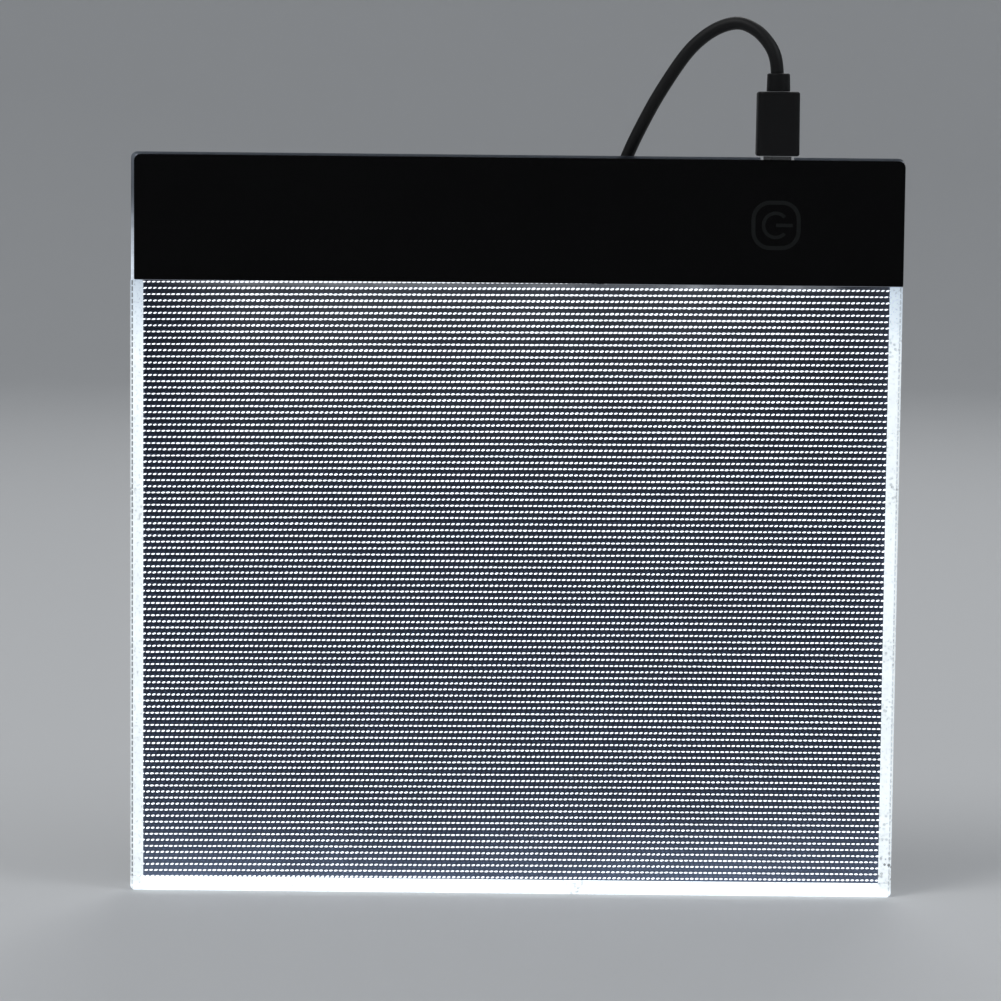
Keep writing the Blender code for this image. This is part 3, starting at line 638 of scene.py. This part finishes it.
def backing_paint():
    """Dark film, a little paler behind. Stray light tints its front: grey under the bar, blue low down."""
    paint = Paint("backing", BACKING_FRONT, 0.55, Specular_IOR_Level=0.1)
    paint.bump(paint.noise(1500, 2), 0.01 * MM)
    facing = paint.node("ShaderNodeNewGeometry").outputs["Normal"]
    facing = paint.node("ShaderNodeSeparateXYZ", Vector=facing).outputs["Y"]
    front = paint.span(facing, -0.9, -0.5, 1, 0)
    fibres = paint.blend(paint.noise(420, 4), (0.01, 0.01, 0.011), (0.017, 0.017, 0.018))
    paint.colour(paint.blend(front, fibres, BACKING_FRONT))

    x, z = paint.axis("X"), paint.axis("Z")
    from_left = paint.span(x, -94 * MM, -66 * MM)
    from_right = paint.span(x, 73 * MM, 82 * MM, 1, 0.1)
    right_edge = paint.span(x, 84 * MM, 92 * MM, 0, 1)
    height = paint.minus(z, BOTTOM_TAPE_TOP)
    foot, low_haze = paint.fading(height, 9 * MM), paint.fading(height, 42 * MM)
    haze = paint.plus(paint.times(foot, 0.112), paint.times(low_haze, 0.021))
    blue = paint.plus(haze, paint.times(right_edge, 0.014))

    below_bar = paint.minus(BAR_LOW.z, z)
    thinner = paint.span(x, 40 * MM, 85 * MM, 1, 0.35)
    bar_haze = paint.times(paint.fading(below_bar, 28 * MM), from_left, thinner, 0.043)
    streaks = paint.span(paint.noise(160, 3, stretch=(1, 1, 0.1)), 0.3, 0.7, 0.75, 1.25)
    bright_right = paint.span(x, 30 * MM, 45 * MM, 0.1, 0.19)
    at_bar = paint.span(below_bar, 0.9 * MM, 2.0 * MM, 1, 0)
    band = paint.times(at_bar, bright_right, streaks, from_left, from_right)
    grey = paint.plus(bar_haze, band)

    total = paint.plus(blue, grey)
    grey_share = paint.maths("DIVIDE", grey, paint.plus(total, 0.004))
    tint = paint.blend(grey_share, (0.6, 0.74, 1.0), (0.93, 0.95, 0.93))
    cloud = paint.span(paint.noise(30, 3), 0.3, 0.7, 0.75, 1.25)
    paint.glow(tint, paint.times(paint.plus(paint.times(total, cloud), 0.002), front))
    return paint.made


def tape_paint(name, side=0):
    """White reflective tape, lit through from inside: bright low down, cooler and dimmer near the bar.

    It has pinholes, wrinkles and small bubbles, most of them where it lifts at the right foot. Along the
    sides a dashed line follows the fold.
    """
    paint = Paint(name, (0.34, 0.36, 0.38), 0.45, Specular_IOR_Level=0.3)
    x, z = paint.axis("X"), paint.axis("Z")
    fine = paint.noise(1700, 2, 0.7)
    wrinkle = paint.noise(150, 4, 0.6)
    paint.bump(wrinkle, 0.03 * MM)
    paint.bump(fine, 0.01 * MM)
    pinholes = paint.span(fine, 0.3, 0.46, 0.6, 1.0)
    creases = paint.span(wrinkle, 0.3, 0.7, 0.94, 1.05)
    by_bar = paint.span(z, BAR_LOW.z - 16 * MM, BAR_LOW.z, 1.0, 0.74)
    strength = paint.times(SIDE_GLOW if side else FOOT_GLOW, pinholes, creases, by_bar)

    bubbles = paint.span(paint.cells(950), 0.28, 0.46, 0.0, 1.0)
    low_down = paint.times(paint.span(z, 7 * MM, 13 * MM, 1, 0), paint.span(z, 2.2 * MM, 3.2 * MM))
    lifted = paint.times(paint.span(x, 83 * MM, 88 * MM), low_down, paint.span(wrinkle, 0.36, 0.5))
    patches = paint.maths("MAXIMUM", paint.span(paint.noise(90, 2), 0.6, 0.7, 0, 0.4), lifted)
    strength = paint.times(strength, paint.plus(paint.times(paint.minus(bubbles, 1.0), patches), 1.0))

    inward = paint.minus(GUIDE_HIGH.x, paint.maths("ABSOLUTE", x))
    if not side:
        below_side_tape = paint.span(inward, 2.0 * MM, 3.4 * MM, 1, 0)
        corner = paint.times(below_side_tape, paint.span(z, 0.8 * MM, 2.4 * MM))
        strength = paint.times(strength, paint.minus(1.0, paint.times(corner, 0.3)))
    from_line = paint.maths("ABSOLUTE", paint.minus(inward, 0.34 * MM))
    on_line = paint.span(from_line, 0.12 * MM, 0.24 * MM, 1, 0)
    wave = paint.maths("SINE", paint.times(z, 2 * math.pi / ROW_PITCH))
    dash = paint.span(wave, -0.85, -0.55, 0.1, 0.92 if side < 0 else 0.45)
    fold = paint.span(inward, -0.12 * MM, 0.3 * MM, 0.62 if side < 0 else 0.8, 1.0)
    strength = paint.times(strength, paint.minus(1.0, paint.times(on_line, dash)), fold)
    cool = paint.span(z, BAR_LOW.z - 22 * MM, BAR_LOW.z)
    paint.glow(paint.blend(cool, (0.91, 0.99, 1.03), (0.74, 0.87, 1.0)), strength)
    return paint.made


ROW_FOOT = -0.643 * MM
ROW_PITCH = 1.5272 * MM
ROW_STRETCH = 0.00004 * MM  # the rows lie very slightly further apart towards the bar
ROW_SLOPE = 0.0040  # they climb a little to the right
ROW_BOW = 0.0193  # per metre: they also sag a little towards both ends
DOT_PITCH = 1.2146 * MM
DOT_NARROWING = 0.000032  # the columns lean together towards the bar
COLUMN_LEAN = 0.0063
COLUMN_BOW = 0.0312  # per metre
DOT_START = 0.02 * MM
DOT_STAGGER = 0.33 * MM  # every other row starts this much further right
FIRST_ROW, LAST_ROW = 3, 100
DOT_COLUMNS = 78  # each side of the middle
DOT_LENGTH, DOT_HEIGHT = 1.0 * MM, 0.49 * MM
DOT_SIDES = 8
DOT_RISE = 0.03 * MM
DOT_CLEARANCE = 0.01 * MM
DOT_MARGIN = 1.6 * MM  # how far in from the guide's sides the printing starts
PAST_BAR_FOOT = 1.0 * MM  # how far up behind the bar it goes on
NEAR_SIDE = 28 * MM  # the dots near the bar are thinner this close to a side
STAGGERED_TILT, EVEN_TILT = 16, 7  # degrees, up to the right
FLAT_FROM_X, FLAT_BELOW_ROW, FLAT_SHARE = 40 * MM, 40, 0.3  # low down on the right they tilt less
ROW_FAN = 0.0000109 / MM  # each row climbs a little more than the one below it


def dot_rows(first, last, chance):
    """Places, sizes and tilts of the dots in these rows, as (x, z, length, height, tilt)."""
    middle = (FIRST_ROW + LAST_ROW) / 2
    for row in range(first, last + 1):
        staggered = row % 2 == 1
        up = ROW_PITCH * row
        start = DOT_START + COLUMN_LEAN * up - COLUMN_BOW * up * up
        if staggered:
            start += DOT_STAGGER
        for column in range(-DOT_COLUMNS, DOT_COLUMNS + 1):
            x = start + column * (DOT_PITCH - DOT_NARROWING * up)
            if not GUIDE_LOW.x + DOT_MARGIN < x < GUIDE_HIGH.x - DOT_MARGIN:
                continue
            z = ROW_FOOT + up + row * row * ROW_STRETCH + (ROW_SLOPE - ROW_BOW * x + ROW_FAN * up) * x
            if z > BAR_LOW.z + PAST_BAR_FOOT:
                continue
            from_side = min(1.0, (GUIDE_HIGH.x - abs(x)) / NEAR_SIDE)
            near_bar = max(0.0, (row - middle) / middle)
            fullness = (0.92 + 0.14 * from_side * near_bar) * chance.uniform(0.96, 1.05)
            thinness = 1.0 - 0.2 * (1 - from_side) * near_bar
            tilt = STAGGERED_TILT if staggered else EVEN_TILT
            if x > FLAT_FROM_X and row < FLAT_BELOW_ROW:
                tilt *= FLAT_SHARE
            tilt = math.radians(tilt + chance.uniform(-2, 2))
            x += chance.uniform(-0.02, 0.02) * MM
            z += chance.uniform(-0.02, 0.02) * MM
            length = DOT_LENGTH * fullness * (1.0 if staggered else 1.06)
            height = DOT_HEIGHT * fullness * thinness * (1.0 if staggered else 0.93)
            yield x, z, length, height * chance.uniform(0.95, 1.08), tilt


def make_dots(name, first, last, seed, made):
    """Low domes of white ink on the light guide's front, in closed pieces."""
    chance = random.Random(seed)
    foot = GUIDE_LOW.y - DOT_CLEARANCE
    points, faces = [], []
    ring = [2 * math.pi * side / DOT_SIDES for side in range(DOT_SIDES)]
    for x, z, length, height, tilt in dot_rows(first, last, chance):
        base = len(points)
        points.append((x, foot - DOT_RISE, z))
        for angle in ring:
            along = 0.5 * length * math.cos(angle)
            up = 0.5 * height * math.sin(angle)
            points.append(
                (
                    x + along * math.cos(tilt) - up * math.sin(tilt),
                    foot,
                    z + along * math.sin(tilt) + up * math.cos(tilt),
                )
            )
        for side in range(DOT_SIDES):
            faces.append((base, base + 1 + side, base + 1 + (side + 1) % DOT_SIDES))
        faces.append(tuple(base + DOT_SIDES - side for side in range(DOT_SIDES)))
    mesh = bpy.data.meshes.new(name)
    mesh.from_pydata(points, [], faces)
    mesh.validate()
    piece = bpy.data.objects.new(name, mesh)
    bpy.context.scene.collection.objects.link(piece)
    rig.ride(piece, "root")
    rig.slot(piece, "white_tape")
    paint_with(piece, made)
    return piece


def dot_paint():
    paint = Paint("lit_dots", (0.85, 0.88, 0.9), 0.45, Specular_IOR_Level=0.2)
    z = paint.axis("Z")
    fade = paint.span(z, 0, BAR_LOW.z, 1.32, 1.16)
    strength = paint.times(fade, paint.span(paint.noise(60, 3), 0.3, 0.7, 0.93, 1.06))
    paint.glow((0.9, 0.935, 1.0), strength)
    paint.made.cycles.emission_sampling = "NONE"
    return paint.made


# ---------------------------------------------------------------- stage


def make_stage():
    """A pale round studio: a floor whose edge sweeps up into a wall."""
    floor, sweep = 1.9, 0.7  # radii of the flat floor and of the curve that joins it to the wall
    profile = [(0.0, 0.0), (0.5, 0.0), (1.2, 0.0), (floor, 0.0)]
    for degrees in range(10, 91, 10):
        angle = math.radians(degrees)
        profile.append((floor + sweep * math.sin(angle), sweep - sweep * math.cos(angle)))
    profile += [(floor + sweep, 1.6), (floor + sweep, 2.4)]
    bm = bmesh.new()
    points = [bm.verts.new((r, 0, z - 0.02 * MM)) for r, z in profile]
    edges = [bm.edges.new(pair) for pair in zip(points, points[1:])]
    outline = points + edges
    bmesh.ops.spin(
        bm, geom=outline, cent=(0, 0, 0), axis=(0, 0, 1), angle=2 * math.pi, steps=96, use_merge=True
    )
    bmesh.ops.remove_doubles(bm, verts=bm.verts, dist=1e-6)
    bmesh.ops.recalc_face_normals(bm, faces=bm.faces)
    stage = mesh_piece("studio", bm, body=None, sharp=80)
    paint = Paint("studio_paper", (0.62, 0.63, 0.64), 0.75, Specular_IOR_Level=0.15)
    paint.bump(paint.noise(900, 3), 0.01 * MM)
    paint_with(stage, paint.made)
    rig.stage(stage)


def area_light(name, place, target, size, power, colour=(1, 1, 1)):
    data = bpy.data.lights.new(name, "AREA")
    data.shape = "DISK"
    data.size = size
    data.energy = power
    data.color = colour
    light = bpy.data.objects.new(name, data)
    bpy.context.scene.collection.objects.link(light)
    turn = (Vector(target) - Vector(place)).to_track_quat("-Z", "Y").to_matrix().to_4x4()
    light.matrix_world = Matrix.Translation(Vector(place)) @ turn


def make_lights():
    area_light("key", (-0.9, -0.7, 1.5), (0, 0, 0.08), 0.9, 9)
    area_light("fill", (1.1, -0.5, 1.1), (0, 0, 0.08), 0.9, 4, (0.95, 0.97, 1.0))
    area_light("back", (0.2, 1.2, 1.3), (0, 0, 0.1), 0.8, 5)
    world = bpy.data.worlds.new("studio_air")
    world.use_nodes = True
    sky = world.node_tree.nodes["Background"]
    sky.inputs["Color"].default_value = (0.93, 0.96, 1.0, 1.0)
    sky.inputs["Strength"].default_value = 0.4
    bpy.context.scene.world = world
    bpy.context.scene.view_settings.view_transform = "Standard"


# ---------------------------------------------------------------- build

# Nodes that are repainted as they are
NODE_PAINTS = {
    "key_ink": ("key_ring_mark", "key_arc_mark", "key_bar_mark"),
    "circuit_board": ("main_board", "led_board"),
    "chip": (
        "controller_chip",
        "driver_transistor",
        "series_resistor",
        "key_resistor",
        "usb_socket_tongue",
    ),
    "wire_red": ("led_wire_red",),
    "wire_black": ("led_wire_black",),
    "copper": ("touch_electrode", "filter_capacitor"),
    "led_body": tuple(f"side_led_{n:02d}" for n in range(1, 17)),
}

# Nodes that get rounded edges: paint, CAD slot, body, width of the rounding
REFINED = {
    "front_cover": ("black_plastic", "black_plastic", "root", 0.25 * MM),
    "rear_cover": ("black_plastic", "black_plastic", "root", 0.25 * MM),
    **{f"rubber_foot_{n}": ("rubber", "rubber", "root", 0.15 * MM) for n in range(1, 5)},
    **{f"cover_screw_{n}": ("steel", "steel", "root", 0.04 * MM) for n in range(1, 5)},
    "usb_socket_shell": ("steel", "steel", "root", 0.06 * MM),
    # the plug shell takes the darkened copy of the steel, which has painted shade in its colour
    "plug_shell": ("plug_steel_painted_shade", "steel", "plug", 0.08 * MM),
    "plug_overmould": ("plug_pvc", "cord_pvc", "plug", 0.2 * MM),
    "plug_strain_relief": ("plug_pvc", "cord_pvc", "plug", 0.12 * MM),
    "cord_tie": ("plug_pvc", "rubber", "root", 0.15 * MM),
    "usb_a_strain_relief": ("plug_pvc", "cord_pvc", "root", 0.2 * MM),
    "usb_a_overmould": ("plug_pvc", "cord_pvc", "root", 0.3 * MM),
    "usb_a_shell": ("steel", "steel", "root", 0.1 * MM),
    "usb_a_tongue": ("chip", "chip", "root", 0.1 * MM),
}
ON_THE_CORD = (
    "plug_shell",
    "plug_overmould",
    "plug_strain_relief",
    "cord_tie",
    "usb_a_strain_relief",
    "usb_a_overmould",
    "usb_a_shell",
    "usb_a_tongue",
)


def main():
    make_camera()
    cord, centres = make_cord()
    paints = make_paints()
    paint_with(cord, paints["cord_pvc"])
    for name, nodes in NODE_PAINTS.items():
        for node in nodes:
            frame["nodes"][node].material_slots[0].material = paints[name]
    pieces = {}
    for node, (paint, slot, body, width) in REFINED.items():
        pieces[node] = paint_with(refined(node, body, width), paints[paint])
        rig.slot(pieces[node], slot)
    frame["nodes"]["light_guide_plate"].material_slots[0].material = light_guide_paint()
    frame["nodes"]["backing_sheet"].material_slots[0].material = backing_paint()
    for name, side in (("left", -1), ("right", 1), ("bottom", 0)):
        frame["nodes"]["edge_tape_" + name].material_slots[0].material = tape_paint("tape_" + name, side)
    dots = dot_paint()
    half = (FIRST_ROW + LAST_ROW) // 2
    make_dots("light_dots_lower", FIRST_ROW, half, 7, dots)
    make_dots("light_dots_upper", half + 1, LAST_ROW, 8, dots)
    declare_cord(cord, centres, [pieces[node] for node in ON_THE_CORD])
    make_stage()
    make_lights()


main()
visual_bounds = [[float(v) for v in corner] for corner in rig.bounds()]
with open("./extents.json", "w") as out:
    json.dump({"cad": cad_bounds, "visual": visual_bounds}, out)
